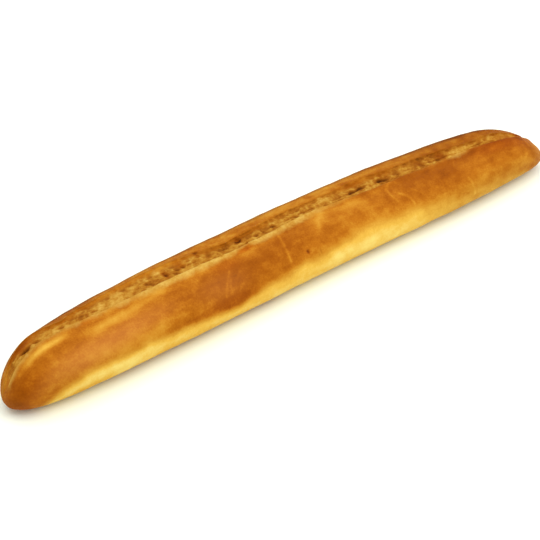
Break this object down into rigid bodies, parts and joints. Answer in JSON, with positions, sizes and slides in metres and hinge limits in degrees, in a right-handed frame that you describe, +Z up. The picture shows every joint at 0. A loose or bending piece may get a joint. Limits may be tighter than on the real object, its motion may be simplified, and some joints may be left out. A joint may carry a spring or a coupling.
{
  "type": "baguette",
  "caption": "Long bread loaf with a rounded crust, blunt ends, a flat underside and one lengthwise cut along its crown that shows torn crumb.",
  "frame": {"origin": "on the resting surface, under the middle of the loaf's bounding box", "axes": "+X along the loaf, from the blunt tip to the longer tip, +Z up, and -Y on the side of the cut's raised front lip"},
  "size_m": [0.56, 0.0831, 0.0454],
  "materials": {
    "crust": "baked bread crust, golden brown and satin, paler along the foot and in the torn cut"
  },
  "bodies": {
    "root": {"baguette": "crust"}
  },
  "joints": []
}
